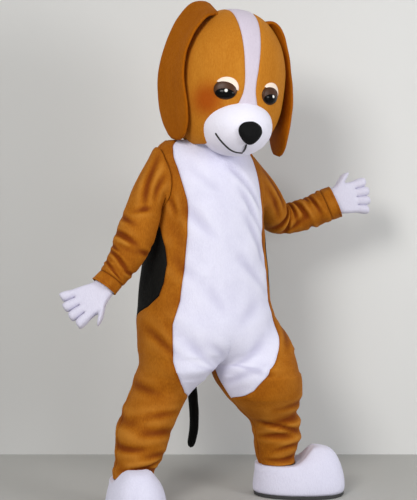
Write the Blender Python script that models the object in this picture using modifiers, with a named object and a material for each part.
"""Dog mascot costume: hollow plush suit with head, gloves, feet and tail, in its worn pose."""
import math
from collections import namedtuple

import bmesh
import bpy
from mathutils import Matrix, Vector
from mathutils.bvhtree import BVHTree

for item in list(bpy.data.objects):
    bpy.data.objects.remove(item, do_unlink=True)

# ---------------------------------------------------------------- named sizes (metres)
SHOULDER_HEIGHT = 1.38      # the origin, between the shoulders, above the soles
PLUSH = 0.003               # plush and its backing
HEAD_WALL = 0.009           # plush over foam
SHOE_WALL = 0.011           # plush over foam
GLOVE_WALL = 0.0025
HALF_SEAM = 0.00015         # half of the gap left at a seam
CROTCH_SEAM = 0.0018        # wider where four panels meet at the crotch
SEAT = 0.0003               # gap under a piece that lies on another
CROTCH = 0.527              # height of the crotch point
HIP = 0.70                  # height where both legs have joined the trunk
CROTCH_Y = -0.035
YOKE_SEAM = 1.15            # top of the saddle
LOBE_TIP = 0.40             # lowest point of the belly panel's lobes
ARMHOLE_LOW = 1.12
ARMHOLE_HIGH = 1.35
ARMHOLE_SPAN = 0.165        # half the armhole's share of the half trunk
NECK = 1.385
ZIP_HALF = 0.0060           # half the width left open for the zip tape
ZIP_LOW = 0.82

SIDES = (("right", -1), ("left", 1))

LegRow = namedtuple("LegRow", "height centre_x centre_y half_width half_depth")
LEG_ROWS = {
    -1: (
        LegRow(0.1262, -0.331, -0.037, 0.074, 0.072),
        LegRow(0.165, -0.320, -0.037, 0.082, 0.080),
        LegRow(0.210, -0.300, -0.035, 0.093, 0.090),
        LegRow(0.267, -0.285, -0.026, 0.101, 0.102),
        LegRow(0.331, -0.260, -0.015, 0.108, 0.112),
        LegRow(0.391, -0.225, -0.006, 0.112, 0.118),
        LegRow(0.440, -0.190, 0.005, 0.114, 0.125),
        LegRow(0.480, -0.166, 0.004, 0.124, 0.145),
        LegRow(0.527, -0.132, -0.010, 0.140, 0.180),
    ),
    1: (
        LegRow(0.1254, 0.272, -0.078, 0.073, 0.073),
        LegRow(0.154, 0.268, -0.075, 0.077, 0.076),
        LegRow(0.216, 0.272, -0.080, 0.092, 0.092),
        LegRow(0.287, 0.257, -0.088, 0.097, 0.100),
        LegRow(0.334, 0.228, -0.092, 0.112, 0.116),
        LegRow(0.384, 0.207, -0.093, 0.138, 0.145),
        LegRow(0.410, 0.197, -0.096, 0.149, 0.160),
        LegRow(0.450, 0.186, -0.094, 0.157, 0.178),
        LegRow(0.480, 0.179, -0.090, 0.160, 0.190),
        LegRow(0.527, 0.170, -0.082, 0.162, 0.200),
    ),
}

TrunkRow = namedtuple("TrunkRow", "height centre front back wide_right wide_left")
TRUNK_ROWS = (
    TrunkRow(0.527, 0.008, -0.205, 0.210, 0.283, 0.338),
    TrunkRow(0.580, 0.006, -0.210, 0.215, 0.287, 0.328),
    TrunkRow(0.640, 0.003, -0.213, 0.222, 0.283, 0.308),
    TrunkRow(0.700, 0.001, -0.208, 0.230, 0.277, 0.288),
    TrunkRow(0.760, 0.000, -0.195, 0.229, 0.266, 0.272),
    TrunkRow(0.820, 0.000, -0.186, 0.224, 0.261, 0.268),
    TrunkRow(0.880, 0.000, -0.181, 0.219, 0.254, 0.264),
    TrunkRow(0.940, 0.000, -0.176, 0.213, 0.246, 0.256),
    TrunkRow(1.000, 0.000, -0.172, 0.207, 0.238, 0.250),
    TrunkRow(1.060, 0.000, -0.168, 0.201, 0.226, 0.246),
    TrunkRow(1.130, 0.000, -0.164, 0.196, 0.211, 0.244),
    TrunkRow(1.200, 0.000, -0.152, 0.191, 0.208, 0.242),
    TrunkRow(1.260, 0.000, -0.134, 0.182, 0.207, 0.236),
    TrunkRow(1.310, 0.000, -0.110, 0.168, 0.203, 0.223),
    TrunkRow(1.340, 0.000, -0.099, 0.156, 0.193, 0.206),
    TrunkRow(1.365, 0.000, -0.091, 0.144, 0.182, 0.182),
    TrunkRow(1.385, 0.000, -0.086, 0.134, 0.157, 0.157),
)

# Seam lines, as the share of the way round each half from the centre front or inseam.
SeamRow = namedtuple("SeamRow", "height share")
BELLY_EDGE = {
    -1: (
        SeamRow(LOBE_TIP, 0.000), SeamRow(0.417, 0.117), SeamRow(0.440, 0.200),
        SeamRow(0.476, 0.266), SeamRow(0.500, 0.305), SeamRow(0.527, 0.345),
        SeamRow(0.572, 0.338), SeamRow(0.654, 0.296), SeamRow(0.720, 0.268),
        SeamRow(0.789, 0.240),
        SeamRow(0.900, 0.224), SeamRow(1.029, 0.218), SeamRow(1.158, 0.236),
        SeamRow(1.287, 0.285), SeamRow(NECK, 0.350),
    ),
    1: (
        SeamRow(LOBE_TIP, 0.000), SeamRow(0.417, 0.090), SeamRow(0.440, 0.137),
        SeamRow(0.505, 0.205), SeamRow(0.590, 0.241), SeamRow(0.649, 0.280),
        SeamRow(0.720, 0.292), SeamRow(0.789, 0.288), SeamRow(0.900, 0.284),
        SeamRow(1.029, 0.284), SeamRow(1.158, 0.290), SeamRow(1.287, 0.290),
        SeamRow(NECK, 0.290),
    ),
}
SIDE_SEAM = (
    SeamRow(0.130, 0.500), SeamRow(0.300, 0.510), SeamRow(0.450, 0.545),
    SeamRow(0.600, 0.620), SeamRow(0.700, 0.645), SeamRow(0.726, 0.560),
    SeamRow(0.760, 0.440), SeamRow(0.800, 0.362), SeamRow(0.850, 0.335),
    SeamRow(0.920, 0.322), SeamRow(0.985, 0.345), SeamRow(1.050, 0.400),
    SeamRow(1.100, 0.470), SeamRow(1.120, 0.500), SeamRow(NECK, 0.500),
)

# Large folds: a line on the half surface from (height, share) to (height, share).
FoldRow = namedtuple("FoldRow", "side low_h low_t high_h high_t width depth")
FOLDS = (
    FoldRow(-1, 0.320, 0.300, 0.355, 0.640, 0.020, -0.011),
    FoldRow(-1, 0.232, 0.180, 0.262, 0.560, 0.018, -0.008),
    FoldRow(-1, 0.180, 0.420, 0.205, 0.900, 0.016, -0.008),
    FoldRow(-1, 0.455, 0.640, 0.520, 0.940, 0.022, -0.010),
    FoldRow(1, 0.322, 0.200, 0.345, 0.600, 0.020, -0.012),
    FoldRow(1, 0.250, 0.120, 0.262, 0.520, 0.017, -0.009),
    FoldRow(1, 0.190, 0.350, 0.180, 0.820, 0.016, -0.009),
    FoldRow(1, 0.410, 0.640, 0.500, 0.930, 0.024, -0.011),
    FoldRow(-1, 0.580, 0.080, 0.700, 0.300, 0.026, -0.008),
    FoldRow(1, 0.580, 0.060, 0.690, 0.260, 0.026, -0.007),
    FoldRow(-1, 0.930, 0.170, 1.090, 0.340, 0.030, -0.007),
    FoldRow(1, 0.900, 0.200, 1.080, 0.360, 0.030, -0.006),
    FoldRow(-1, 0.860, 0.700, 0.960, 0.940, 0.032, -0.008),
    FoldRow(1, 0.960, 0.660, 0.900, 0.930, 0.030, -0.008),
    FoldRow(-1, 1.050, 0.620, 1.170, 0.720, 0.024, -0.007),
    FoldRow(1, 1.040, 0.610, 1.160, 0.700, 0.024, -0.007),
)

ArmRow = namedtuple("ArmRow", "along x y height radius")
ARM_ROWS = {
    -1: (
        ArmRow(0.00, -0.203, 0.012, 1.245, 0.088),
        ArmRow(0.16, -0.240, -0.010, 1.206, 0.066),
        ArmRow(0.36, -0.284, -0.032, 1.108, 0.067),
        ArmRow(0.53, -0.318, -0.037, 1.022, 0.073),
        ArmRow(0.70, -0.354, -0.038, 0.950, 0.065),
        ArmRow(0.86, -0.390, -0.038, 0.900, 0.055),
        ArmRow(1.00, -0.412, -0.036, 0.872, 0.050),
    ),
    1: (
        ArmRow(0.00, 0.228, 0.015, 1.240, 0.088),
        ArmRow(0.17, 0.280, 0.045, 1.188, 0.067),
        ArmRow(0.34, 0.341, 0.092, 1.123, 0.067),
        ArmRow(0.47, 0.390, 0.122, 1.088, 0.067),
        ArmRow(0.62, 0.452, 0.126, 1.083, 0.064),
        ArmRow(0.80, 0.530, 0.102, 1.104, 0.066),
        ArmRow(1.00, 0.598, 0.066, 1.137, 0.069),
    ),
}
SHOULDER_CAP = {-1: 0.020, 1: 0.004}   # how far the sleeve's head stands up
HEM_LENGTH = 0.042
SLEEVE_RINGS = 18
SLEEVE_HALF = 9

LEG_STATIONS = (0.0, 0.165, 0.195, 0.228, 0.262, 0.298, 0.334, 0.368, LOBE_TIP, 0.417, 0.440, 0.480)
JOIN_STATIONS = (CROTCH, 0.565, 0.605, 0.650, HIP)
TRUNK_STATIONS = (0.726, 0.760, 0.805, 0.860, 0.920, 0.985, 1.050, 1.090)
ARMHOLE_ANGLES = (-90, -66, -44, -22, 0, 22, 44, 66, 90)
BELLY_COLUMNS = 5
FLANK_COLUMNS = 4
BACK_COLUMNS = 7

# ---------------------------------------------------------------- materials
Paint = namedtuple("Paint", "red green blue roughness")
PAINTS = {
    "tan_plush": Paint(0.50, 0.21, 0.055, 0.95),
    "brown_plush": Paint(0.22, 0.08, 0.02, 0.95),
    "white_plush": Paint(0.80, 0.79, 0.84, 0.95),
    "black_plush": Paint(0.012, 0.012, 0.011, 0.95),
    "black_nose": Paint(0.012, 0.013, 0.015, 0.35),
    "eye_brown": Paint(0.13, 0.045, 0.015, 0.18),
    "eye_black": Paint(0.006, 0.006, 0.006, 0.15),
    "lid_cream": Paint(0.85, 0.60, 0.45, 0.85),
    "zip_tape": Paint(0.02, 0.02, 0.02, 0.85),
    "zip_metal": Paint(0.32, 0.31, 0.29, 0.35),
    "sole_rubber": Paint(0.30, 0.30, 0.31, 0.80),
}

collection = bpy.data.collections.new("dog_mascot_costume")
bpy.context.scene.collection.children.link(collection)


def paint(name, colour):
    """Give a piece its own Principled surface."""
    row = PAINTS[colour]
    surface = bpy.data.materials.new(name + "_" + colour)
    surface.use_nodes = True
    shader = surface.node_tree.nodes["Principled BSDF"]
    shader.inputs["Base Color"].default_value = (row.red, row.green, row.blue, 1.0)
    shader.inputs["Roughness"].default_value = row.roughness
    surface.diffuse_color = (row.red, row.green, row.blue, 1.0)
    return surface


def add_piece(name, bm, colour, smooth=True):
    """Turn a finished bmesh into a named piece of the costume."""
    bmesh.ops.recalc_face_normals(bm, faces=bm.faces)
    mesh = bpy.data.meshes.new(name)
    bm.to_mesh(mesh)
    bm.free()
    piece = bpy.data.objects.new(name, mesh)
    collection.objects.link(piece)
    mesh.materials.append(paint(name, colour))
    if smooth:
        mesh.shade_smooth()
    return piece


def add_cutter(name, bm):
    """A closed form that only trims others."""
    bmesh.ops.recalc_face_normals(bm, faces=bm.faces)
    mesh = bpy.data.meshes.new(name)
    bm.to_mesh(mesh)
    bm.free()
    cutter = bpy.data.objects.new(name, mesh)
    collection.objects.link(cutter)
    cutter.hide_render = True
    cutter.display_type = "WIRE"
    return cutter


def trim(piece, cutter):
    modifier = piece.modifiers.new("trim_" + cutter.name, "BOOLEAN")
    modifier.operation = "DIFFERENCE"
    modifier.solver = "EXACT"
    modifier.object = cutter


# ---------------------------------------------------------------- tables and smooth steps
def table_at(rows, place):
    """All columns of a table at one place along its first column, on a smooth curve."""
    if place <= rows[0][0]:
        return rows[0]
    if place >= rows[-1][0]:
        return rows[-1]
    k = 0
    while rows[k + 1][0] < place:
        k += 1
    low = rows[k]
    high = rows[k + 1]
    before = rows[max(k - 1, 0)]
    after = rows[min(k + 2, len(rows) - 1)]
    span = high[0] - low[0]
    w = (place - low[0]) / span
    values = [place]
    for column in range(1, len(low)):
        slope_low = (high[column] - before[column]) / (high[0] - before[0])
        slope_high = (after[column] - low[column]) / (after[0] - low[0])
        value = (2 * w ** 3 - 3 * w ** 2 + 1) * low[column]
        value += (w ** 3 - 2 * w ** 2 + w) * span * slope_low
        value += (3 * w ** 2 - 2 * w ** 3) * high[column]
        value += (w ** 3 - w ** 2) * span * slope_high
        values.append(value)
    return type(low)(*values)


def straight_at(rows, place):
    """The share of a seam row at one height, on straight lines."""
    if place <= rows[0].height:
        return rows[0].share
    for low, high in zip(rows, rows[1:]):
        if place <= high.height:
            w = (place - low.height) / (high.height - low.height)
            return low.share + (high.share - low.share) * w
    return rows[-1].share


def smooth_step(value):
    value = max(0.0, min(1.0, value))
    return value * value * (3.0 - 2.0 * value)


def blend(first, second, share):
    return first + (second - first) * share


# ---------------------------------------------------------------- the suit's surface
def plain_point(side, height, share):
    """A point of one half of the suit: share 0 is the inseam or centre front, 1 the back."""
    turn = 2.0 * math.pi * share
    ends = 0.5 * (1.0 + math.cos(turn))
    leg = table_at(LEG_ROWS[side], min(height, CROTCH))
    near = max(0.0, min(1.0, (height - 0.40) / (CROTCH - 0.40)))
    shift = (CROTCH_Y - leg.centre_y) * near * ends ** 1.5
    ring_x = leg.centre_x - side * leg.half_width * math.cos(turn)
    ring_y = leg.centre_y - leg.half_depth * math.sin(turn) + shift
    if height <= CROTCH:
        return Vector((ring_x, ring_y, height - SHOULDER_HEIGHT))
    trunk = table_at(TRUNK_ROWS, height)
    wide = trunk.wide_right if side < 0 else trunk.wide_left
    middle = 0.5 * (trunk.front + trunk.back)
    half_x = trunk.centre + side * wide * math.sin(math.pi * share)
    half_y = middle - 0.5 * (trunk.back - trunk.front) * math.cos(math.pi * share)
    if height >= HIP:
        return Vector((half_x, half_y, height - SHOULDER_HEIGHT))
    w = (height - CROTCH) / (HIP - CROTCH)
    bend = blend(w, math.sin(w * math.pi / 2.0), ends)
    curve = CROTCH + (HIP - CROTCH) * (1.0 - math.cos(w * math.pi / 2.0))
    lift = blend(height, curve, ends)
    x = blend(ring_x, half_x, bend)
    y = blend(ring_y, half_y, bend)
    return Vector((x, y, lift - SHOULDER_HEIGHT))


def outward(side, height, share):
    """The unit direction straight out of the suit's smooth surface."""
    step = 0.004
    across = plain_point(side, height, share + step) - plain_point(side, height, share - step)
    low = max(height - step, 0.131)
    if low < CROTCH < height + step:
        low = CROTCH + 0.0001
    along = plain_point(side, max(height, low) + step, share) - plain_point(side, low, share)
    normal = across.cross(along) * side
    if normal.length < 1e-9:
        return Vector((0.0, 0.0, -1.0))
    return normal.normalized()


def fold_depth(side, height, share):
    """How far the large folds push the cloth out or in at one place."""
    total = 0.0
    for fold in FOLDS:
        if fold.side != side:
            continue
        girth = 0.68
        line = Vector((fold.high_h - fold.low_h, (fold.high_t - fold.low_t) * girth))
        offset = Vector((height - fold.low_h, (share - fold.low_t) * girth))
        along = max(0.0, min(1.0, offset.dot(line) / line.length_squared))
        away = (offset - line * along).length
        fade = math.sin(math.pi * (0.12 + 0.76 * along))
        total += fold.depth * fade * math.exp(-(away / fold.width) ** 2)
        total -= 0.55 * fold.depth * fade * math.exp(-((away - 1.7 * fold.width) / fold.width) ** 2)
    edge = min(1.0, abs(height - 0.13) / 0.05, abs(NECK - height) / 0.05)
    return total * max(0.0, edge)


def suit_point(side, height, share):
    """A point of the suit with its folds, and its outward direction."""
    normal = outward(side, height, share)
    ends = min(share, 1.0 - share) / 0.06
    hold = smooth_step(ends)
    return plain_point(side, height, share) + normal * fold_depth(side, height, share) * hold, normal


def share_step(side, height, share, distance):
    """The change of share that moves a point by a distance round the half."""
    step = 0.01
    low = max(0.0, share - step)
    high = min(1.0, share + step)
    span = (plain_point(side, height, high) - plain_point(side, height, low)).length
    return distance * (high - low) / max(span, 1e-6)


def armhole_share(height):
    """Half the armhole's opening, as a share, at one height."""
    middle = 0.5 * (ARMHOLE_LOW + ARMHOLE_HIGH)
    reach = 0.5 * (ARMHOLE_HIGH - ARMHOLE_LOW)
    lift = (height - middle) / reach
    if abs(lift) >= 1.0:
        return 0.0
    return ARMHOLE_SPAN * math.sqrt(1.0 - lift * lift)


def armhole_heights():
    middle = 0.5 * (ARMHOLE_LOW + ARMHOLE_HIGH)
    reach = 0.5 * (ARMHOLE_HIGH - ARMHOLE_LOW)
    return [middle + reach * math.sin(math.radians(angle)) for angle in ARMHOLE_ANGLES]


def leg_stations(side):
    hem = LEG_ROWS[side][0].height
    return [hem] + list(LEG_STATIONS[1:])


def belly_edge(side, height):
    return straight_at(BELLY_EDGE[side], height)


def side_edge(height):
    return straight_at(SIDE_SEAM, height)


# ---------------------------------------------------------------- sheets
def wall_layers(bm):
    """The columns of a mesh that hold each point's wall offset and its order in the grid."""
    layers = bm.verts.layers.float
    names = ("wall_x", "wall_y", "wall_z", "order", "inner")
    return [layers.get(name) or layers.new(name) for name in names]


def sheet_mesh(bm, rows, columns, place, tube=False):
    """Carry a flat grid onto place(row, column), which gives a point and a wall offset.

    On a tube the columns count up both flanks, as the rows of the panels beside it do."""
    offsets = wall_layers(bm)
    made = bmesh.ops.create_grid(bm, x_segments=columns, y_segments=rows, size=0.5)
    for vert in made["verts"]:
        column = round((vert.co.x + 0.5) * columns)
        row = round((vert.co.y + 0.5) * rows)
        point, wall = place(row, column)
        vert.co = point
        vert[offsets[3]] = row * 100.0 + (min(column, columns - column) if tube else column)
        for layer, value in zip(offsets, wall):
            vert[layer] = value


def close_sheet(bm, weld=0.00002):
    """Give a sheet its wall: a copy of its faces moved by the wall offsets, and side faces.

    Side faces are split the same way on both pieces of a seam, so their edges stay apart."""
    offsets = wall_layers(bm)
    order = offsets[3]
    inner = offsets[4]
    bmesh.ops.remove_doubles(bm, verts=bm.verts, dist=weld)
    bmesh.ops.dissolve_degenerate(bm, dist=0.000001, edges=bm.edges)
    made = bmesh.ops.extrude_face_region(bm, geom=list(bm.faces), use_keep_orig=True)
    for vert in made["geom"]:
        if isinstance(vert, bmesh.types.BMVert):
            vert.co += Vector([vert[layer] for layer in offsets[:3]])
            vert[inner] = 1.0
    for face in list(bm.faces):
        outside = sorted([v for v in face.verts if v[inner] < 0.5], key=lambda v: v[order])
        inside = sorted([v for v in face.verts if v[inner] > 0.5], key=lambda v: v[order])
        if len(outside) == 2 and len(inside) == 2:
            bmesh.utils.face_split(face, outside[0], inside[1])


def suit_place(side, height, share):
    point, normal = suit_point(side, height, share)
    return point, normal * -PLUSH


def build_panel(name, side, heights, columns, low_edge, high_edge, colour):
    """One suit panel between two seam lines, over a list of heights."""
    bm = bmesh.new()

    def place(row, column):
        height = heights[row]
        share = blend(low_edge(height), high_edge(height), column / columns)
        return suit_place(side, height, share)

    sheet_mesh(bm, len(heights) - 1, columns, place)
    close_sheet(bm)
    return add_piece(name, bm, colour)


def all_heights(side):
    heights = leg_stations(side) + list(JOIN_STATIONS) + list(TRUNK_STATIONS)
    heights += armhole_heights() + [1.368, NECK]
    return heights


# Belly: one white panel across the front, with a lobe down each inner thigh.
belly_mesh = bmesh.new()
for side_name, side in SIDES:
    heights = [h for h in all_heights(side) if h >= LOBE_TIP - 1e-9]

    def belly_place(row, column, side=side, heights=heights):
        height = heights[row]
        inner = 0.0
        if height < CROTCH - 1e-9:
            inner = share_step(side, height, 0.0, HALF_SEAM)
        edge = belly_edge(side, height)
        outer = edge - share_step(side, height, edge, HALF_SEAM)
        if row == 0:
            inner = 0.004
            outer = 0.004
        return suit_place(side, height, blend(inner, outer, column / BELLY_COLUMNS))

    sheet_mesh(belly_mesh, len(heights) - 1, BELLY_COLUMNS, belly_place)
close_sheet(belly_mesh)
belly = add_piece("belly", belly_mesh, "white_plush")

for side_name, side in SIDES:
    heights = all_heights(side)

    def flank_low(height, side=side):
        if height < LOBE_TIP + 1e-9:
            return share_step(side, height, 0.0, HALF_SEAM) if height < LOBE_TIP - 1e-9 else 0.0075
        edge = belly_edge(side, height)
        return edge + share_step(side, height, edge, HALF_SEAM)

    def flank_high(height, side=side):
        edge = side_edge(height) - armhole_share(height)
        return edge - share_step(side, height, edge, HALF_SEAM)

    def back_low(height, side=side):
        edge = side_edge(height) + armhole_share(height)
        return edge + share_step(side, height, edge, HALF_SEAM)

    def back_high(height, side=side):
        gap = HALF_SEAM
        if abs(height - CROTCH) < 0.06:
            gap = CROTCH_SEAM
        if height > ZIP_LOW:
            gap = ZIP_HALF + HALF_SEAM
        return 1.0 - share_step(side, height, 1.0, gap)

    build_panel("flank_" + side_name, side, heights, FLANK_COLUMNS, flank_low, flank_high, "tan_plush")
    leg_heights = [h for h in heights if h < HIP - 1e-6] + [HIP - HALF_SEAM]
    build_panel("leg_back_" + side_name, side, leg_heights, BACK_COLUMNS, back_low, back_high, "tan_plush")
    saddle_heights = [HIP + HALF_SEAM] + [h for h in heights if HIP + 1e-6 < h < YOKE_SEAM - 0.02]
    saddle_heights += [YOKE_SEAM - HALF_SEAM]
    build_panel("saddle_" + side_name, side, saddle_heights, BACK_COLUMNS, back_low, back_high, "black_plush")
    yoke_heights = [YOKE_SEAM + HALF_SEAM] + [h for h in heights if h > YOKE_SEAM + 0.01]
    build_panel("yoke_" + side_name, side, yoke_heights, BACK_COLUMNS, back_low, back_high, "tan_plush")


# ---------------------------------------------------------------- sleeves
def arm_frame(side, along):
    """Centre, outer direction, front direction and radius of the sleeve at one place."""
    row = table_at(ARM_ROWS[side], along)
    ahead = table_at(ARM_ROWS[side], min(1.0, along + 0.02))
    behind = table_at(ARM_ROWS[side], max(0.0, along - 0.02))
    tangent = Vector((ahead.x - behind.x, ahead.y - behind.y, ahead.height - behind.height))
    tangent.normalize()
    outer = Vector((side * 0.70, 0.0, 0.72))
    outer -= tangent * outer.dot(tangent)
    outer.normalize()
    front = tangent.cross(outer) * side
    centre = Vector((row.x, row.y, row.height - SHOULDER_HEIGHT))
    return centre, outer, front, tangent, row


ArmFold = namedtuple("ArmFold", "side along angle spread width depth")
ARM_FOLDS = (
    ArmFold(-1, 0.56, 200, 110, 0.030, -0.011), ArmFold(-1, 0.655, 20, 120, 0.028, -0.009),
    ArmFold(-1, 0.735, 170, 130, 0.026, -0.009), ArmFold(-1, 0.815, 10, 120, 0.026, -0.008),
    ArmFold(-1, 0.895, 150, 140, 0.024, -0.008), ArmFold(-1, 0.300, 250, 70, 0.040, -0.010),
    ArmFold(1, 0.430, 60, 80, 0.040, -0.014), ArmFold(1, 0.545, 30, 120, 0.030, -0.009),
    ArmFold(1, 0.650, 160, 130, 0.030, -0.009), ArmFold(1, 0.740, 340, 120, 0.028, -0.009),
    ArmFold(1, 0.830, 120, 130, 0.028, -0.008), ArmFold(1, 0.915, 0, 120, 0.026, -0.007),
)


def arm_fold(side, along, angle):
    total = 0.0
    for fold in ARM_FOLDS:
        if fold.side != side:
            continue
        turn = abs((angle - fold.angle + 180.0) % 360.0 - 180.0)
        fade = math.exp(-(turn / fold.spread) ** 2)
        away = abs(along - fold.along - 0.012 * math.sin(math.radians(angle)))
        total += fold.depth * fade * math.exp(-(away / fold.width) ** 2)
        total -= 0.6 * fold.depth * fade * math.exp(-((away - 1.6 * fold.width) / fold.width) ** 2)
    return total * smooth_step((1.0 - along) / 0.06) * smooth_step(along / 0.2)


def shoulder_cap(side, along, turn):
    rise = SHOULDER_CAP[side] * smooth_step(along / 0.05) * math.exp(-((along - 0.05) / 0.05) ** 2)
    return rise * max(0.0, math.sin(turn)) ** 2


def armhole_ring(side):
    """The armhole's edge points, from the underarm up the front, over and down the back."""
    heights = armhole_heights()
    ring = []
    for height in heights:
        share = 0.5 - armhole_share(height)
        ring.append((height, share))
    for height in reversed(heights[1:-1]):
        ring.append((height, 0.5 + armhole_share(height)))
    points = []
    for k, (height, share) in enumerate(ring):
        low = k == 0
        high = k == len(heights) - 1
        if low:
            height += 0.0034
        if high:
            height -= 0.0024
        inset = share_step(side, height, share, 0.0018)
        if share < 0.5 - 1e-6:
            share += inset
        elif share > 0.5 + 1e-6:
            share -= inset
        points.append(suit_point(side, height, share))
    return points


def sleeve_surface(side, along, k, ring, start):
    """Sleeve point k of a ring, blended from the armhole's edge into the arm's round."""
    count = len(ring)
    angle = -90.0 + 360.0 * k / count
    centre, outer, front, tangent, row = arm_frame(side, along)
    turn = math.radians(angle)
    spoke = outer * math.sin(turn) + front * math.cos(turn)
    radius = row.radius + arm_fold(side, along, angle)
    tube = centre + spoke * radius
    edge_point, edge_normal = ring[k]
    moved = edge_point + (centre - start) * 0.9
    share = smooth_step(along / 0.26)
    point = moved.lerp(tube, share)
    away = edge_point - start
    mixed = away.normalized().lerp(spoke, max(share, 0.25))
    if along <= 0.0:
        mixed = edge_normal
    mixed.normalize()
    return point + mixed * shoulder_cap(side, along, turn), mixed


def sleeve_ring_start(ring):
    total = Vector((0.0, 0.0, 0.0))
    for point, normal in ring:
        total += point
    return total / len(ring)


for side_name, side in SIDES:
    ring = armhole_ring(side)
    start = sleeve_ring_start(ring)
    first_centre = arm_frame(side, 0.0)[0]
    count = len(ring)

    def sleeve_place(row, column, side=side, ring=ring, count=count, first=first_centre):
        along = row / SLEEVE_RINGS
        along = along * along * 0.25 + along * 0.75
        point, normal = sleeve_surface(side, along, column % count, ring, first)
        return point, normal * -PLUSH

    sleeve_mesh = bmesh.new()
    sheet_mesh(sleeve_mesh, SLEEVE_RINGS, count, sleeve_place, tube=True)
    close_sheet(sleeve_mesh)
    add_piece("sleeve_" + side_name, sleeve_mesh, "tan_plush")

    def hem_place(row, column, side=side, count=count):
        centre, outer, front, tangent, table = arm_frame(side, 1.0)
        turn = math.radians(-90.0 + 360.0 * column / count)
        spoke = outer * math.sin(turn) + front * math.cos(turn)
        swell = (0.0, 0.0020, 0.0)[row]
        reach = SEAT + HEM_LENGTH * 0.5 * row
        taper = -0.002 * row
        point = centre + tangent * reach + spoke * (table.radius + swell + taper)
        return point, spoke * -(PLUSH + swell)

    hem_mesh = bmesh.new()
    sheet_mesh(hem_mesh, 2, count, hem_place)
    close_sheet(hem_mesh)
    add_piece("sleeve_hem_" + side_name, hem_mesh, "tan_plush")

# ---------------------------------------------------------------- zip at the centre back
zip_heights = [h for h in all_heights(1) if ZIP_LOW + 0.01 < h < NECK + 0.001]


def back_centre(height):
    trunk = table_at(TRUNK_ROWS, height)
    return Vector((trunk.centre, trunk.back, height - SHOULDER_HEIGHT))


def zip_place(row, column):
    height = zip_heights[row]
    point = back_centre(height)
    tilt = back_centre(min(height + 0.01, NECK)) - back_centre(height - 0.01)
    normal = Vector((0.0, tilt.z, -tilt.y)).normalized()
    point.x += (column - 1) * (ZIP_HALF - HALF_SEAM)
    return point - normal * 0.0012, normal * -0.0016


zip_mesh = bmesh.new()
sheet_mesh(zip_mesh, len(zip_heights) - 1, 2, zip_place)
close_sheet(zip_mesh)
add_piece("zip_tape", zip_mesh, "zip_tape", smooth=False)

SLIDER_HEIGHT = 1.29
SLIDER_SIZE = Vector((0.0100, 0.0040, 0.0160))
PIN_AT = Vector((0.0, 0.0048, 0.0040))     # across, out of the back, up the zip
PIN_RADIUS = 0.00070
EYE_HOLE = 0.00076
EYE_OUTER = 0.00150
EYE_WIDTH = 0.0040
LUG_SIZE = Vector((0.0068, 0.0030, 0.0032))
PULL_THICK = 0.0012
PullRow = namedtuple("PullRow", "drop width")
PULL_ROWS = (PullRow(0.0028, 0.0040), PullRow(0.0048, 0.0070), PullRow(0.0290, 0.0084), PullRow(0.0320, 0.0066))
slider_at = back_centre(SLIDER_HEIGHT)
slider_tilt = back_centre(SLIDER_HEIGHT + 0.02) - back_centre(SLIDER_HEIGHT - 0.02)
slider_turn = Matrix.Rotation(math.atan2(-slider_tilt.y, slider_tilt.z), 4, "X")
slider_place = Matrix.Translation(slider_at) @ slider_turn
across_x = Matrix.Rotation(math.radians(90.0), 4, "Y")


def box_mesh(bm, size, centre, bevel):
    """A box with its long edges eased."""
    made = bmesh.ops.create_cube(bm, size=1.0)
    for vert in made["verts"]:
        vert.co = Vector([vert.co[k] * size[k] + centre[k] for k in range(3)])
    edges = list({edge for vert in made["verts"] for edge in vert.link_edges})
    if bevel > 0.0:
        bmesh.ops.bevel(bm, geom=edges, offset=bevel, segments=1, profile=0.5, affect="EDGES", material=-1)
    return made


def ring_mesh(bm, inner, outer, width, segments):
    """A short tube about X: returns its outer faces."""
    rings = []
    for radius, reach in ((inner, -1.0), (outer, -1.0), (outer, 1.0), (inner, 1.0)):
        made = bmesh.ops.create_circle(bm, segments=segments, radius=radius, matrix=across_x)
        for vert in made["verts"]:
            vert.co.x += 0.5 * width * reach
        rings.append(list({edge for vert in made["verts"] for edge in vert.link_edges}))
    outside = []
    for k in range(4):
        made = bmesh.ops.bridge_loops(bm, edges=rings[k] + rings[(k + 1) % 4])
        if k == 1:
            outside = made["faces"]
    return outside


slider_mesh = bmesh.new()
box_mesh(slider_mesh, SLIDER_SIZE, Vector((0.0, 0.0012, 0.0)), 0.0010)
slider_mesh.transform(slider_place)
slider = add_piece("zip_slider", slider_mesh, "zip_metal", smooth=False)
lug_mesh = bmesh.new()
box_mesh(lug_mesh, LUG_SIZE, PIN_AT - Vector((0.0, 0.0003, 0.0)), 0.0)
lug_mesh.transform(slider_place)
lug = add_cutter("lug_block", lug_mesh)
join = slider.modifiers.new("join_lugs", "BOOLEAN")
join.operation = "UNION"
join.solver = "EXACT"
join.object = lug
slot_mesh = bmesh.new()
ring_mesh(slot_mesh, PIN_RADIUS, 0.0022, EYE_WIDTH + 0.0004, 20)
slot_mesh.transform(slider_place @ Matrix.Translation(PIN_AT))
bmesh.ops.recalc_face_normals(slot_mesh, faces=slot_mesh.faces)
trim(slider, add_cutter("lug_slot", slot_mesh))

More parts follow.
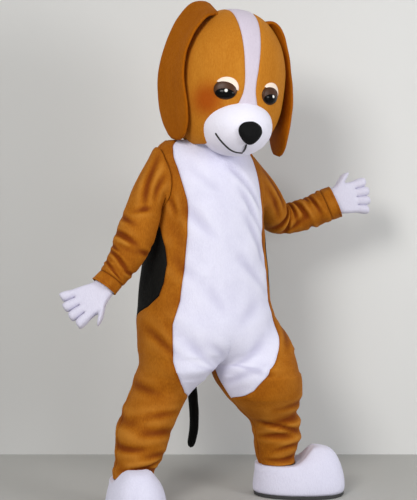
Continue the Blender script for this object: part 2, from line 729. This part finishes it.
pull_mesh = bmesh.new()
outside = ring_mesh(pull_mesh, EYE_HOLE, EYE_OUTER, EYE_WIDTH, 20)
neck = [face for face in outside if face.calc_center_median().z < -0.93 * EYE_OUTER]
for row in PULL_ROWS:
    made = bmesh.ops.extrude_face_region(pull_mesh, geom=neck)
    bmesh.ops.delete(pull_mesh, geom=neck, context="FACES_ONLY")
    neck = [item for item in made["geom"] if isinstance(item, bmesh.types.BMFace)]
    for vert in {vert for face in neck for vert in face.verts}:
        vert.co.x = math.copysign(0.5 * row.width, vert.co.x)
        if abs(vert.co.y) > 0.0001:
            vert.co.y = math.copysign(0.5 * PULL_THICK, vert.co.y)
        vert.co.z = -row.drop
pull_mesh.transform(slider_place @ Matrix.Translation(PIN_AT))
add_piece("zip_pull", pull_mesh, "zip_metal", smooth=False)

# ---------------------------------------------------------------- tail
TailRow = namedtuple("TailRow", "along x y height radius")
TAIL_ROWS = (
    TailRow(0.00, 0.000, 0.232, 0.781, 0.019),
    TailRow(0.06, 0.004, 0.262, 0.772, 0.021),
    TailRow(0.13, 0.014, 0.281, 0.736, 0.021),
    TailRow(0.30, 0.040, 0.286, 0.615, 0.021),
    TailRow(0.50, 0.064, 0.276, 0.470, 0.021),
    TailRow(0.70, 0.079, 0.266, 0.330, 0.020),
    TailRow(0.86, 0.083, 0.268, 0.220, 0.019),
    TailRow(1.00, 0.074, 0.282, 0.130, 0.017),
)
TAIL_RINGS = 18
TAIL_SIDES = 12


def tail_spot(row, column):
    """A point of the tail's tube; the first ring lies on the back, the last rounds off."""
    along = row / TAIL_RINGS
    table = table_at(TAIL_ROWS, along)
    ahead = table_at(TAIL_ROWS, min(1.0, along + 0.02))
    behind = table_at(TAIL_ROWS, max(0.0, along - 0.02))
    tangent = Vector((ahead.x - behind.x, ahead.y - behind.y, ahead.height - behind.height)).normalized()
    sideways = Vector((1.0, 0.0, 0.0))
    upward = sideways.cross(tangent).normalized()
    sideways = tangent.cross(upward)
    turn = 2.0 * math.pi * column / TAIL_SIDES
    centre = Vector((table.x, table.y, table.height - SHOULDER_HEIGHT))
    radius = table.radius * math.sqrt(max(0.03, 1.0 - max(0.0, (along - 0.93) / 0.07) ** 2))
    return centre + (sideways * math.cos(turn) + upward * math.sin(turn)) * radius


tail_mesh = bmesh.new()
sheet_mesh(tail_mesh, TAIL_RINGS, TAIL_SIDES, lambda row, column: (tail_spot(row, column % TAIL_SIDES), (0.0, 0.0, 0.0)))
bmesh.ops.remove_doubles(tail_mesh, verts=tail_mesh.verts, dist=0.00001)
back_mesh = bmesh.new()
for name in ("saddle_right", "saddle_left"):
    back_mesh.from_mesh(bpy.data.objects[name].data)
back_tree = BVHTree.FromBMesh(back_mesh)
back_mesh.free()
order_layer = wall_layers(tail_mesh)[3]


def back_depth(x, z):
    """How far back the saddle reaches at one place, looking past the centre seam."""
    depth = None
    for aside in (-0.0008, 0.0008):
        hit = back_tree.ray_cast(Vector((x + aside, 0.5, z)), Vector((0.0, -1.0, 0.0)))
        if hit[0] is not None and (depth is None or hit[0].y > depth):
            depth = hit[0].y
    return depth


for vert in tail_mesh.verts:
    depth = back_depth(vert.co.x, vert.co.z)
    if depth is None:
        continue
    if vert[order_layer] < 99.0:
        vert.co.y = depth + SEAT
    else:
        vert.co.y = max(vert.co.y, depth + 4.0 * SEAT)
open_edges = [edge for edge in tail_mesh.edges if edge.is_boundary]
caps = bmesh.ops.holes_fill(tail_mesh, edges=open_edges, sides=0)["faces"]
root = max(caps, key=lambda cap: cap.calc_center_median().z)
middle = bmesh.ops.poke(tail_mesh, faces=[root])["verts"][0]
middle.co.x = 0.0
middle.co.y = back_depth(0.0, middle.co.z) + SEAT
add_piece("tail", tail_mesh, "black_plush")

# ---------------------------------------------------------------- head
HEAD_RADIUS = 0.210
HEAD_HALF_HEIGHT = 0.263
HEAD_NECK = -0.228
NECK_DIP = {-1: 0.12, 1: 0.0}   # the rim dips to the shoulder on the side that the head leans from
LOW_POWER = 2.9             # how full the head's lower half is
HEAD_AT = Vector((0.058, -0.080, 1.6155 - SHOULDER_HEIGHT))
HEAD_TURN = Matrix.Rotation(math.radians(-6.5), 4, "Z")
HEAD_ROLL = Matrix.Rotation(math.radians(4.5), 4, "Y")
HEAD_NOD = Matrix.Rotation(math.radians(3.0), 4, "X")
HEAD_MATRIX = Matrix.Translation(HEAD_AT) @ HEAD_TURN @ HEAD_ROLL @ HEAD_NOD
CROWN_SEAM = 108.0
BLAZE_ROWS = 13
NAPE_ROWS = 11
NECK_ROWS = 6
CHEEK_RINGS = 5
BLAZE_COLUMNS = 4

BlazeRow = namedtuple("BlazeRow", "angle half_width")
BLAZE_EDGE = (
    BlazeRow(-70.0, 0.060), BlazeRow(-34.0, 0.046), BlazeRow(-14.0, 0.024), BlazeRow(12.0, 0.029),
    BlazeRow(39.0, 0.038), BlazeRow(62.0, 0.045), BlazeRow(90.0, 0.047), BlazeRow(CROWN_SEAM, 0.046),
    BlazeRow(150.0, 0.052), BlazeRow(250.0, 0.056),
)


def head_round(direction):
    """The head's surface along a direction from its centre."""
    power = 2.1 if direction.z >= 0.0 else LOW_POWER
    level = math.hypot(direction.x, direction.y)
    total = (abs(direction.z) / HEAD_HALF_HEIGHT) ** power + (level / HEAD_RADIUS) ** power
    return direction * total ** (-1.0 / power)


def head_point(angle, across):
    """Head point: angle runs from the front over the crown, across from the middle to a side."""
    turn = math.radians(angle)
    reach = math.cos(across)
    return head_round(Vector((math.sin(across), -reach * math.cos(turn), reach * math.sin(turn))))


def head_normal(point):
    """Outward direction of the head at a point of its surface."""
    power = 2.1 if point.z >= 0.0 else LOW_POWER
    level = max(math.hypot(point.x, point.y), 1e-6)
    flat = power * (level / HEAD_RADIUS) ** (power - 1.0) / HEAD_RADIUS
    rise = power * (abs(point.z) / HEAD_HALF_HEIGHT) ** (power - 1.0) / HEAD_HALF_HEIGHT
    sign = 1.0 if point.z >= 0.0 else -1.0
    return Vector((flat * point.x / level, flat * point.y / level, rise * sign)).normalized()


def blaze_across(angle):
    """How far across the middle strip reaches at one angle."""
    half = table_at(BLAZE_EDGE, angle).half_width
    low = 0.0
    high = 1.0
    for step in range(30):
        middle = 0.5 * (low + high)
        if head_point(angle, middle).x < half:
            low = middle
        else:
            high = middle
    return low


def neck_across(angle, side):
    """How far across the neck opening reaches at one angle below the head."""
    low = 0.0
    high = 1.5
    for step in range(40):
        middle = 0.5 * (low + high)
        point = head_point(angle, middle)
        if point.z < HEAD_NECK - NECK_DIP[side] * max(0.0, point.x - 0.05):
            low = middle
        else:
            high = middle
    return low


def neck_corner(low, high):
    """The angle at which the strip's edge meets the neck opening."""
    for step in range(40):
        middle = 0.5 * (low + high)
        point = head_point(middle, blaze_across(middle))
        if point.z < HEAD_NECK:
            low = middle
        else:
            high = middle
    return 0.5 * (low + high)


FRONT_CORNER = neck_corner(-80.0, -20.0)
BACK_CORNER = neck_corner(260.0, 200.0)
blaze_angles = [blend(FRONT_CORNER, CROWN_SEAM, k / BLAZE_ROWS) for k in range(BLAZE_ROWS + 1)]
nape_angles = [blend(CROWN_SEAM, BACK_CORNER, k / NAPE_ROWS) for k in range(NAPE_ROWS + 1)]
neck_angles = [blend(BACK_CORNER, FRONT_CORNER + 360.0, k / NECK_ROWS) for k in range(NECK_ROWS + 1)]


def head_spot(point):
    return point, head_normal(point) * -HEAD_WALL


def strip_piece(name, angles, colour):
    """The middle strip of the head between two of its seams."""
    bm = bmesh.new()
    rows = len(angles) - 1

    def place(row, column):
        angle = angles[row]
        if row == 0 and angle > 0.0:
            angle += 0.045
        if row == rows and angle < 180.0:
            angle -= 0.045
        reach = blaze_across(angle) - HALF_SEAM / HEAD_RADIUS
        return head_spot(head_point(angle, reach * (2.0 * column / BLAZE_COLUMNS - 1.0)))

    sheet_mesh(bm, rows, BLAZE_COLUMNS, place)
    close_sheet(bm)
    bm.transform(HEAD_MATRIX)
    return add_piece(name, bm, colour)


strip_piece("blaze", blaze_angles, "white_plush")
strip_piece("head_back", nape_angles, "tan_plush")

cheek_angles = blaze_angles + nape_angles[1:] + neck_angles[1:-1]
for side_name, side in SIDES:
    bm = bmesh.new()
    around = len(cheek_angles)

    def cheek_place(row, column, side=side, around=around):
        angle = cheek_angles[column % around]
        if column % around <= BLAZE_ROWS + NAPE_ROWS:
            edge = blaze_across(angle) + HALF_SEAM / HEAD_RADIUS
        else:
            edge = neck_across(angle, side)
        across = blend(edge, math.pi / 2.0, (row / CHEEK_RINGS) ** 0.92)
        point = head_point(angle, min(across, 1.5705))
        if row == CHEEK_RINGS:
            point = head_point(0.0, math.pi / 2.0)
        point.x *= side
        return head_spot(point)

    sheet_mesh(bm, CHEEK_RINGS, around, cheek_place)
    close_sheet(bm, weld=0.00005)
    bm.transform(HEAD_MATRIX)
    add_piece("head_side_" + side_name, bm, "tan_plush")

# The head's outside as one closed form, a seat's gap larger: it trims what lies on the head.
core_mesh = bmesh.new()
for side_name, side in SIDES:
    for angle in cheek_angles:
        for row in range(CHEEK_RINGS + 1):
            if angle <= BACK_CORNER + 1e-6:
                edge = blaze_across(angle)
            else:
                edge = neck_across(angle, side)
            across = blend(edge, math.pi / 2.0, (row / CHEEK_RINGS) ** 0.92)
            point = head_point(angle, across)
            point = point + head_normal(point) * (SEAT + 0.0001)
            core_mesh.verts.new((side * point.x, point.y, point.z))
for angle in blaze_angles + nape_angles:
    point = head_point(angle, 0.0)
    core_mesh.verts.new(point + head_normal(point) * (SEAT + 0.0001))
    point = head_point(angle, blaze_across(angle) * 0.5)
    point = point + head_normal(point) * (SEAT + 0.0001)
    core_mesh.verts.new(point)
    core_mesh.verts.new((-point.x, point.y, point.z))
hull = bmesh.ops.convex_hull(core_mesh, input=core_mesh.verts)
loose = [v for v in core_mesh.verts if not v.link_faces]
bmesh.ops.delete(core_mesh, geom=loose, context="VERTS")
core_mesh.transform(HEAD_MATRIX)


head_core = add_cutter("cut_head_core", core_mesh)


def egg(bm, segments, rings, size, place):
    """A round form scaled to size, with its poles along Y, carried by a matrix."""
    made = bmesh.ops.create_uvsphere(bm, u_segments=segments, v_segments=rings, radius=1.0)
    stand = Matrix.Rotation(math.radians(90.0), 4, "X")
    scale = Matrix.Diagonal(Vector((size[0], size[1], size[2], 1.0)))
    bmesh.ops.transform(bm, matrix=place @ scale @ stand, verts=made["verts"])


MUZZLE_SIZE = Vector((0.138, 0.162, 0.1145))
MUZZLE_AT = Vector((0.0, -0.088, -0.1775))
muzzle_place = HEAD_MATRIX @ Matrix.Translation(MUZZLE_AT)
muzzle_mesh = bmesh.new()
egg(muzzle_mesh, 26, 15, MUZZLE_SIZE, muzzle_place)
muzzle = add_piece("muzzle", muzzle_mesh, "white_plush")
slab_mesh = bmesh.new()
slab = bmesh.ops.create_cube(slab_mesh, size=0.5)
slab_mesh.transform(HEAD_MATRIX @ Matrix.Translation((0.0, 0.25 - 0.066, -0.20)))
back_slab = add_cutter("cut_muzzle_back", slab_mesh)
trim(muzzle, head_core)
trim(muzzle, back_slab)

grown = bmesh.new()
egg(grown, 26, 15, MUZZLE_SIZE + Vector((SEAT, SEAT, SEAT)) * 1.4, muzzle_place)
muzzle_core = add_cutter("cut_muzzle_core", grown)

nose_mesh = bmesh.new()
nose_place = HEAD_MATRIX @ Matrix.Translation((0.0, -0.244, -0.205)) @ Matrix.Rotation(math.radians(-4.0), 4, "X")
egg(nose_mesh, 16, 10, Vector((0.045, 0.026, 0.043)), nose_place)
for vert in nose_mesh.verts:
    local = nose_place.inverted() @ vert.co
    local.x *= 1.0 + 0.30 * local.z / 0.042 * (0.5 if local.z > 0 else 1.0)
    vert.co = nose_place @ local
nose = add_piece("nose", nose_mesh, "black_nose")
trim(nose, muzzle_core)


def muzzle_surface(angle, drop, out):
    """A point on the muzzle's front at an angle round it and a share of its height."""
    turn = math.radians(angle)
    level = math.sqrt(max(0.0, 1.0 - drop * drop))
    unit = Vector((level * math.sin(turn), -level * math.cos(turn), drop))
    point = Vector([unit[k] * MUZZLE_SIZE[k] for k in range(3)])
    normal = Vector([unit[k] / MUZZLE_SIZE[k] for k in range(3)]).normalized()
    return muzzle_place @ (point + normal * out), normal


def cord(name, spots, radius, colour):
    """A round cord lying along a list of points of the muzzle."""
    bm = bmesh.new()
    sides = 6
    rows = len(spots) - 1

    def place(row, column):
        point = spots[row]
        tangent = (spots[min(row + 1, rows)] - spots[max(row - 1, 0)]).normalized()
        outer = point - muzzle_place.translation
        outer = (outer - tangent * outer.dot(tangent)).normalized()
        sideways = tangent.cross(outer)
        turn = 2.0 * math.pi * column / sides
        size = radius * (0.55 if row in (0, rows) else 1.0)
        return point + (outer * math.cos(turn) + sideways * math.sin(turn)) * size, (0.0, 0.0, 0.0)

    sheet_mesh(bm, rows, sides, place)
    bmesh.ops.remove_doubles(bm, verts=bm.verts, dist=0.00001)
    ends = [edge for edge in bm.edges if edge.is_boundary]
    bmesh.ops.holes_fill(bm, edges=ends, sides=0)
    return add_piece(name, bm, colour)


CORD = 0.0021
SMILE_END = 8.0             # the smile runs up the right cheek alone
smile = []
for k in range(12):
    angle = blend(-55.0, SMILE_END, k / 11.0)
    drop = blend(-0.865, -0.33, ((SMILE_END - angle) / (SMILE_END + 55.0)) ** 4.2)
    smile.append(muzzle_surface(angle, drop, CORD + 0.5 * SEAT)[0])
cord("mouth", smile, CORD, "black_plush")
line = []
for k in range(5):
    line.append(muzzle_surface(1.5 * k, blend(-0.655, -0.842, k / 4.0), CORD + SEAT)[0])
cord("mouth_line", line, CORD, "black_plush")

# ---------------------------------------------------------------- eyes
EYE_ANGLE = 25.4
EYE_DROP = -0.058
EYE_SIZE = Vector((0.043, 0.014, 0.036))
PUPIL_SIZE = Vector((0.0385, 0.0176, 0.0235))
LID_SIZE = Vector((0.044, 0.0120, 0.041))
EYE_SINK = 0.003            # how far the eye's middle plane lies inside the head
LID_SINK = 0.006


def face_place(side, angle, drop):
    """A frame on the head's front: origin on the surface, -Y straight out, +Z up the head."""
    turn = math.radians(angle)
    direction = Vector((side * math.sin(turn), -math.cos(turn), drop / HEAD_RADIUS))
    point = head_round(direction.normalized())
    out = head_normal(point)
    up = Vector((0.0, 0.0, 1.0))
    up = (up - out * up.dot(out)).normalized()
    across = up.cross(out)
    turn_matrix = Matrix((
        (across.x, -out.x, up.x, point.x), (across.y, -out.y, up.y, point.y),
        (across.z, -out.z, up.z, point.z), (0.0, 0.0, 0.0, 1.0)))
    return HEAD_MATRIX @ turn_matrix


for side_name, side in SIDES:
    socket = face_place(side, EYE_ANGLE, EYE_DROP)
    eye_place = socket @ Matrix.Translation((0.0, EYE_SINK, 0.0))
    eye_mesh = bmesh.new()
    egg(eye_mesh, 18, 8, EYE_SIZE, eye_place)
    eye = add_piece("eye_" + side_name, eye_mesh, "eye_brown")
    trim(eye, head_core)
    grown = bmesh.new()
    egg(grown, 18, 8, EYE_SIZE + Vector((SEAT, SEAT, SEAT)) * 1.3, eye_place)
    eye_core = add_cutter("cut_eye_" + side_name, grown)
    pupil_mesh = bmesh.new()
    egg(pupil_mesh, 14, 8, PUPIL_SIZE, eye_place @ Matrix.Translation((0.0, 0.0, -0.010)))
    pupil = add_piece("pupil_" + side_name, pupil_mesh, "eye_black")
    trim(pupil, head_core)
    trim(pupil, eye_core)
    lid_mesh = bmesh.new()
    egg(lid_mesh, 20, 8, LID_SIZE, socket @ Matrix.Translation((0.004, LID_SINK, 0.0085)))
    lid = add_piece("eyelid_" + side_name, lid_mesh, "lid_cream")
    shade = bmesh.new()
    bmesh.ops.create_cube(shade, size=0.2)
    tilt = Matrix.Rotation(math.radians(18.0), 4, "Y")
    shade.transform(socket @ tilt @ Matrix.Translation((0.0, 0.0, -0.1 + 0.0155)))
    lid_cut = add_cutter("cut_lid_" + side_name, shade)
    trim(lid, head_core)
    trim(lid, eye_core)
    trim(lid, lid_cut)

# ---------------------------------------------------------------- ears
EarRow = namedtuple("EarRow", "along out back height half_width swing tilt thick")
EAR_ROWS = (
    EarRow(0.00, 0.078, -0.012, 0.230, 0.050, 0.05, 0.52, 0.0055),
    EarRow(0.08, 0.110, -0.012, 0.249, 0.062, 0.06, 0.52, 0.0070),
    EarRow(0.17, 0.150, -0.013, 0.234, 0.074, 0.08, 0.47, 0.0075),
    EarRow(0.27, 0.185, -0.013, 0.188, 0.082, 0.12, 0.34, 0.0075),
    EarRow(0.37, 0.208, -0.008, 0.132, 0.084, 0.15, 0.19, 0.0075),
    EarRow(0.50, 0.228, -0.002, 0.056, 0.087, 0.17, 0.08, 0.0075),
    EarRow(0.63, 0.237, -0.002, -0.026, 0.094, 0.18, 0.02, 0.0075),
    EarRow(0.75, 0.234, -0.006, -0.092, 0.101, 0.18, 0.00, 0.0075),
    EarRow(0.86, 0.227, -0.008, -0.154, 0.099, 0.18, 0.00, 0.0072),
    EarRow(0.94, 0.220, -0.006, -0.207, 0.080, 0.18, 0.00, 0.0066),
    EarRow(0.98, 0.217, -0.002, -0.234, 0.054, 0.18, 0.00, 0.0056),
    EarRow(1.00, 0.215, 0.000, -0.246, 0.026, 0.18, 0.00, 0.0045),
)
EarHang = namedtuple("EarHang", "drift stretch hug unwind lean sag")
EAR_HANG = {                # the head leans, the ears hang plumb; the left one lies closer and lower
    -1: EarHang(0.020, 1.00, 0.000, 0.00, 1.0, 0.000),
    1: EarHang(0.022, 1.09, 0.030, 0.13, 0.1, 0.026),
}
EAR_LENGTH_ROWS = 16
EAR_COLUMNS = 6


def ear_spot(side, along, across):
    """Middle of the ear's thickness, its outward direction and its half thickness."""
    row = table_at(EAR_ROWS, along)
    ahead = table_at(EAR_ROWS, min(1.0, along + 0.02))
    behind = table_at(EAR_ROWS, max(0.0, along - 0.02))
    tangent = Vector((side * (ahead.out - behind.out), ahead.back - behind.back, ahead.height - behind.height))
    tangent.normalize()
    hang = EAR_HANG[side]
    swing = row.swing - hang.unwind
    wide = Vector((side * math.sin(swing), math.cos(swing), row.tilt * hang.lean))
    wide = (wide - tangent * wide.dot(tangent)).normalized()
    normal = wide.cross(tangent) * side
    curl = 0.010 * math.sin(math.pi * along) * across * across
    low = min(0.0, row.height) * hang.stretch + max(0.0, row.height)
    drift = hang.drift * smooth_step((along - 0.35) / 0.65)
    low -= hang.sag * smooth_step((0.45 - along) / 0.30)
    hug = hang.hug * smooth_step((along - 0.05) / 0.30) * smooth_step((1.14 - along) / 0.32)
    centre = Vector((side * (row.out - hug) + drift, row.back, low)) + wide * row.half_width * across
    round_off = math.sqrt(max(0.0, 1.0 - across * across * 0.94))
    return centre - normal * curl, normal, row.thick * round_off


for side_name, side in SIDES:
    bm = bmesh.new()

    def ear_place(row, column, side=side):
        along = row / EAR_LENGTH_ROWS
        across = math.sin(0.5 * math.pi * (2.0 * column / EAR_COLUMNS - 1.0))
        spot, normal, thick = ear_spot(side, along, across)
        return spot + normal * thick, normal * -2.0 * thick

    sheet_mesh(bm, EAR_LENGTH_ROWS, EAR_COLUMNS, ear_place)
    close_sheet(bm)
    bm.transform(HEAD_MATRIX)
    ear = add_piece("ear_" + side_name, bm, "brown_plush")
    trim(ear, head_core)

# ---------------------------------------------------------------- gloves
DigitRow = namedtuple("DigitRow", "length spread lift")
DIGITS = {
    -1: (DigitRow(0.050, -0.21, -0.10), DigitRow(0.060, -0.07, -0.06),
         DigitRow(0.060, 0.06, -0.02), DigitRow(0.052, 0.19, 0.02)),
    1: (DigitRow(0.048, -0.22, -0.10), DigitRow(0.059, -0.11, -0.14),
        DigitRow(0.062, 0.00, -0.12), DigitRow(0.056, 0.12, -0.06)),
}
PALM_LENGTH = 0.080
PALM_WIDTH = 0.128
PALM_THICK = 0.056
CUFF_INSIDE = 0.014           # how far the glove's cuff reaches into the hem
CUFF_FLAT = 0.70              # thickness of the cuff's ring for its width
GloveFit = namedtuple("GloveFit", "wrist_share cuff_span")
GLOVE_FIT = {-1: GloveFit(0.70, 0.0410), 1: GloveFit(0.91, 0.0582)}


def hand_frame(wrist, fingers, thumb):
    """Local X across to the thumb's side, local Y along the fingers."""
    along = Vector(fingers).normalized()
    across = Vector(thumb)
    across = (across - along * across.dot(along)).normalized()
    up = across.cross(along)
    centre = Vector(wrist) - Vector((0.0, 0.0, SHOULDER_HEIGHT))
    return Matrix((
        (across.x, along.x, up.x, centre.x), (across.y, along.y, up.y, centre.y),
        (across.z, along.z, up.z, centre.z), (0.0, 0.0, 0.0, 1.0)))


def push_face(bm, face, move, scale):
    """Extrude one face along a move and shrink it about its middle."""
    made = bmesh.ops.extrude_face_region(bm, geom=[face])
    new_face = next(g for g in made["geom"] if isinstance(g, bmesh.types.BMFace))
    if face.is_valid:
        bm.faces.remove(face)
    middle = new_face.calc_center_median()
    for vert in new_face.verts:
        vert.co = middle + (vert.co - middle) * scale + move
    return new_face


def glove_mesh(side):
    """A hand of five digits, open at the cuff."""
    fit = GLOVE_FIT[side]
    bm = bmesh.new()
    made = bmesh.ops.create_grid(bm, x_segments=4, y_segments=2, size=0.5)
    for vert in made["verts"]:
        along = vert.co.y + 0.5
        width = PALM_WIDTH * blend(fit.wrist_share, 1.04, math.sin(0.5 * math.pi * along))
        vert.co = Vector((vert.co.x * width, along * PALM_LENGTH, -0.5 * PALM_THICK * (1.0 - 0.18 * along)))
    faces = list(bm.faces)
    raised = bmesh.ops.extrude_face_region(bm, geom=faces, use_keep_orig=True)
    for vert in raised["geom"]:
        if isinstance(vert, bmesh.types.BMVert):
            vert.co.z = -vert.co.z
    bmesh.ops.recalc_face_normals(bm, faces=bm.faces)
    bm.faces.ensure_lookup_table()
    fronts = [f for f in bm.faces if f.normal.y > 0.8]
    fronts.sort(key=lambda f: f.calc_center_median().x)
    for face, digit in zip(fronts, DIGITS[side]):
        tip = face
        for share, scale in ((0.56, 1.20), (0.44, 0.80)):
            step = digit.length * share
            move = Vector((math.sin(digit.spread) * step, math.cos(digit.spread) * step, digit.lift * step))
            tip = push_face(bm, tip, move, scale)
    thumbs = [f for f in bm.faces if f.normal.x > 0.8 and f.calc_center_median().y < 0.5 * PALM_LENGTH]
    thumbs.sort(key=lambda f: -f.calc_center_median().y)
    tip = thumbs[0]
    for step, scale in ((0.032, 1.00), (0.026, 0.82)):
        tip = push_face(bm, tip, Vector((step * 0.76, step * 0.65, 0.0)), scale)
    backs = [f for f in bm.faces if f.normal.y < -0.8 and f.calc_center_median().y < 0.001]
    cuff = bmesh.ops.extrude_face_region(bm, geom=backs)
    ends = [g for g in cuff["geom"] if isinstance(g, bmesh.types.BMFace)]
    across = 0.5 * PALM_WIDTH * fit.wrist_share
    ring = {v: (v.co.x / across, v.co.z) for f in ends for v in f.verts}
    inner = [face for face in backs if face.is_valid]
    bmesh.ops.delete(bm, geom=ends + inner, context="FACES_ONLY")
    bmesh.ops.recalc_face_normals(bm, faces=bm.faces)
    bm.transform(HANDS[side])
    centre, outer, front, tangent, row = arm_frame(side, 1.0)
    middle = centre + tangent * (SEAT + HEM_LENGTH - CUFF_INSIDE)
    thumb_way = HANDS[side].to_3x3() @ Vector((1.0, 0.0, 0.0))
    thumb_way = (thumb_way - tangent * thumb_way.dot(tangent)).normalized()
    palm_way = HANDS[side].to_3x3() @ Vector((0.0, 0.0, 1.0))
    palm_way = (palm_way - tangent * palm_way.dot(tangent) - thumb_way * palm_way.dot(thumb_way)).normalized()
    for vert, (place, high) in ring.items():
        turn = math.radians(90.0 - 72.0 * place)
        lift = math.copysign(math.sin(turn), high)
        vert.co = middle + (thumb_way * math.cos(turn) + palm_way * lift * CUFF_FLAT) * fit.cuff_span / 0.952
    return bm


HANDS = {
    -1: hand_frame((-0.457, -0.031, 0.817), (-0.82, 0.22, -0.50), (0.32, -0.50, -0.80)),
    1: hand_frame((0.640, 0.044, 1.158), (0.95, -0.20, 0.16), (-0.1, 0.1, 1.0)),
}
for side_name, side in SIDES:
    bm = glove_mesh(side)
    glove = add_piece("glove_" + side_name, bm, "white_plush")
    smooth_form = glove.modifiers.new("round", "SUBSURF")
    smooth_form.levels = 1
    smooth_form.render_levels = 1
    wall = glove.modifiers.new("wall", "SOLIDIFY")
    wall.thickness = GLOVE_WALL
    wall.offset = -1.0

# ---------------------------------------------------------------- feet
SHOE_LENGTH = 0.360
SHOE_WIDTH = 0.240
SOLE_THICK = 0.014
ANKLE_AT = 0.096
ANKLE_RADIUS = 0.070
ANKLE_HEIGHT = 0.124
TOE_HEIGHT = 0.190
SHOE_AROUND = 22
ShoeRow = namedtuple("ShoeRow", "step inward across rise")
SHOE_ROWS = (
    ShoeRow(0.00, 0.000, 0.00, 0.000), ShoeRow(0.12, -0.015, 0.00, 0.200), ShoeRow(0.25, 0.060, 0.00, 0.430),
    ShoeRow(0.38, 0.190, 0.00, 0.660), ShoeRow(0.50, 0.350, 0.01, 0.830), ShoeRow(0.62, 0.510, 0.08, 0.950),
    ShoeRow(0.75, 0.590, 0.34, 1.000), ShoeRow(0.88, 0.610, 0.72, 0.980), ShoeRow(1.00, 0.620, 1.00, 0.960),
)
SHOE_STEPS = 8
FEET = {
    -1: (Vector((-0.302, 0.054)), Vector((-0.30, -0.954))),
    1: (Vector((0.190, -0.034)), Vector((0.883, -0.469))),
}


def shoe_outline(turn, grow):
    """The sole's outline: the heel at the origin, the toe along +X."""
    reach = math.cos(turn)
    side_way = math.sin(turn)
    length = 0.5 * SHOE_LENGTH + grow
    width = 0.5 * SHOE_WIDTH * (0.92 + 0.08 * reach) + grow
    x = length * math.copysign(abs(reach) ** 0.86, reach)
    y = width * math.copysign(abs(side_way) ** 0.86, side_way)
    return Vector((0.5 * SHOE_LENGTH + x, y, 0.0))


def shoe_spot(turn, step):
    """A point of the shoe's outside, from the sole's edge up and over to the ankle."""
    outline = shoe_outline(turn, 0.0)
    rim = Vector((ANKLE_AT + ANKLE_RADIUS * math.cos(turn), ANKLE_RADIUS * math.sin(turn), 0.0))
    spine = Vector((min(max(outline.x, ANKLE_AT), SHOE_LENGTH - 0.095), 0.0, 0.0))
    row = table_at(SHOE_ROWS, step)
    toe = smooth_step(0.5 + 0.5 * math.cos(turn))
    reach = blend(0.25, 1.0, toe)
    flat = outline.lerp(spine, row.inward * reach).lerp(rim, row.across)
    peak = blend(ANKLE_HEIGHT - SOLE_THICK, TOE_HEIGHT - SOLE_THICK, toe)
    rim_rise = ANKLE_HEIGHT - SOLE_THICK
    ankle = Vector((ANKLE_AT, 0.0, 0.0))
    away = (flat - ankle).length
    least = ANKLE_RADIUS * (1.0 + 0.12 * (1.0 - row.across))
    if away < least:
        flat = ankle + (flat - ankle) * (least / away)
    rise = blend(rim_rise, peak * row.rise, smooth_step((away - 0.086) / 0.062)) if step > 0.45 else peak * row.rise
    return Vector((flat.x, flat.y, SOLE_THICK + SEAT + rise))


def shoe_place(row, column):
    turn = 2.0 * math.pi * (column % SHOE_AROUND) / SHOE_AROUND
    step = row / SHOE_STEPS
    point = shoe_spot(turn, step)
    around = shoe_spot(turn + 0.02, step) - shoe_spot(turn - 0.02, step)
    upward = shoe_spot(turn, min(1.0, step + 0.02)) - shoe_spot(turn, max(0.0, step - 0.02))
    normal = around.cross(upward).normalized()
    if row == 0:
        normal.z = 0.0
        normal.normalize()
    return point, normal * -SHOE_WALL


for side_name, side in SIDES:
    heel, toe_way = FEET[side]
    heading = Matrix.Rotation(math.atan2(toe_way.y, toe_way.x), 4, "Z")
    stand = Matrix.Translation((heel.x, heel.y, -SHOULDER_HEIGHT)) @ heading
    bm = bmesh.new()
    sheet_mesh(bm, SHOE_STEPS, SHOE_AROUND, shoe_place)
    close_sheet(bm)
    bm.transform(stand)
    add_piece("shoe_" + side_name, bm, "white_plush")

    sole_mesh = bmesh.new()
    made = bmesh.ops.create_circle(sole_mesh, cap_ends=True, segments=SHOE_AROUND, radius=1.0)
    for vert in made["verts"]:
        vert.co = shoe_outline(math.atan2(vert.co.y, vert.co.x), -0.002)
    body = bmesh.ops.extrude_face_region(sole_mesh, geom=list(sole_mesh.faces), use_keep_orig=True)
    for vert in body["geom"]:
        if isinstance(vert, bmesh.types.BMVert):
            vert.co.z = SOLE_THICK
    bmesh.ops.recalc_face_normals(sole_mesh, faces=sole_mesh.faces)
    rims = [e for e in sole_mesh.edges if abs(e.verts[0].co.z - e.verts[1].co.z) < 1e-6 and e.verts[0].co.z < 0.001]
    bmesh.ops.bevel(sole_mesh, geom=rims, offset=0.003, segments=1, profile=0.5, affect="EDGES", material=-1)
    sole_mesh.transform(stand)
    add_piece("sole_" + side_name, sole_mesh, "sole_rubber")
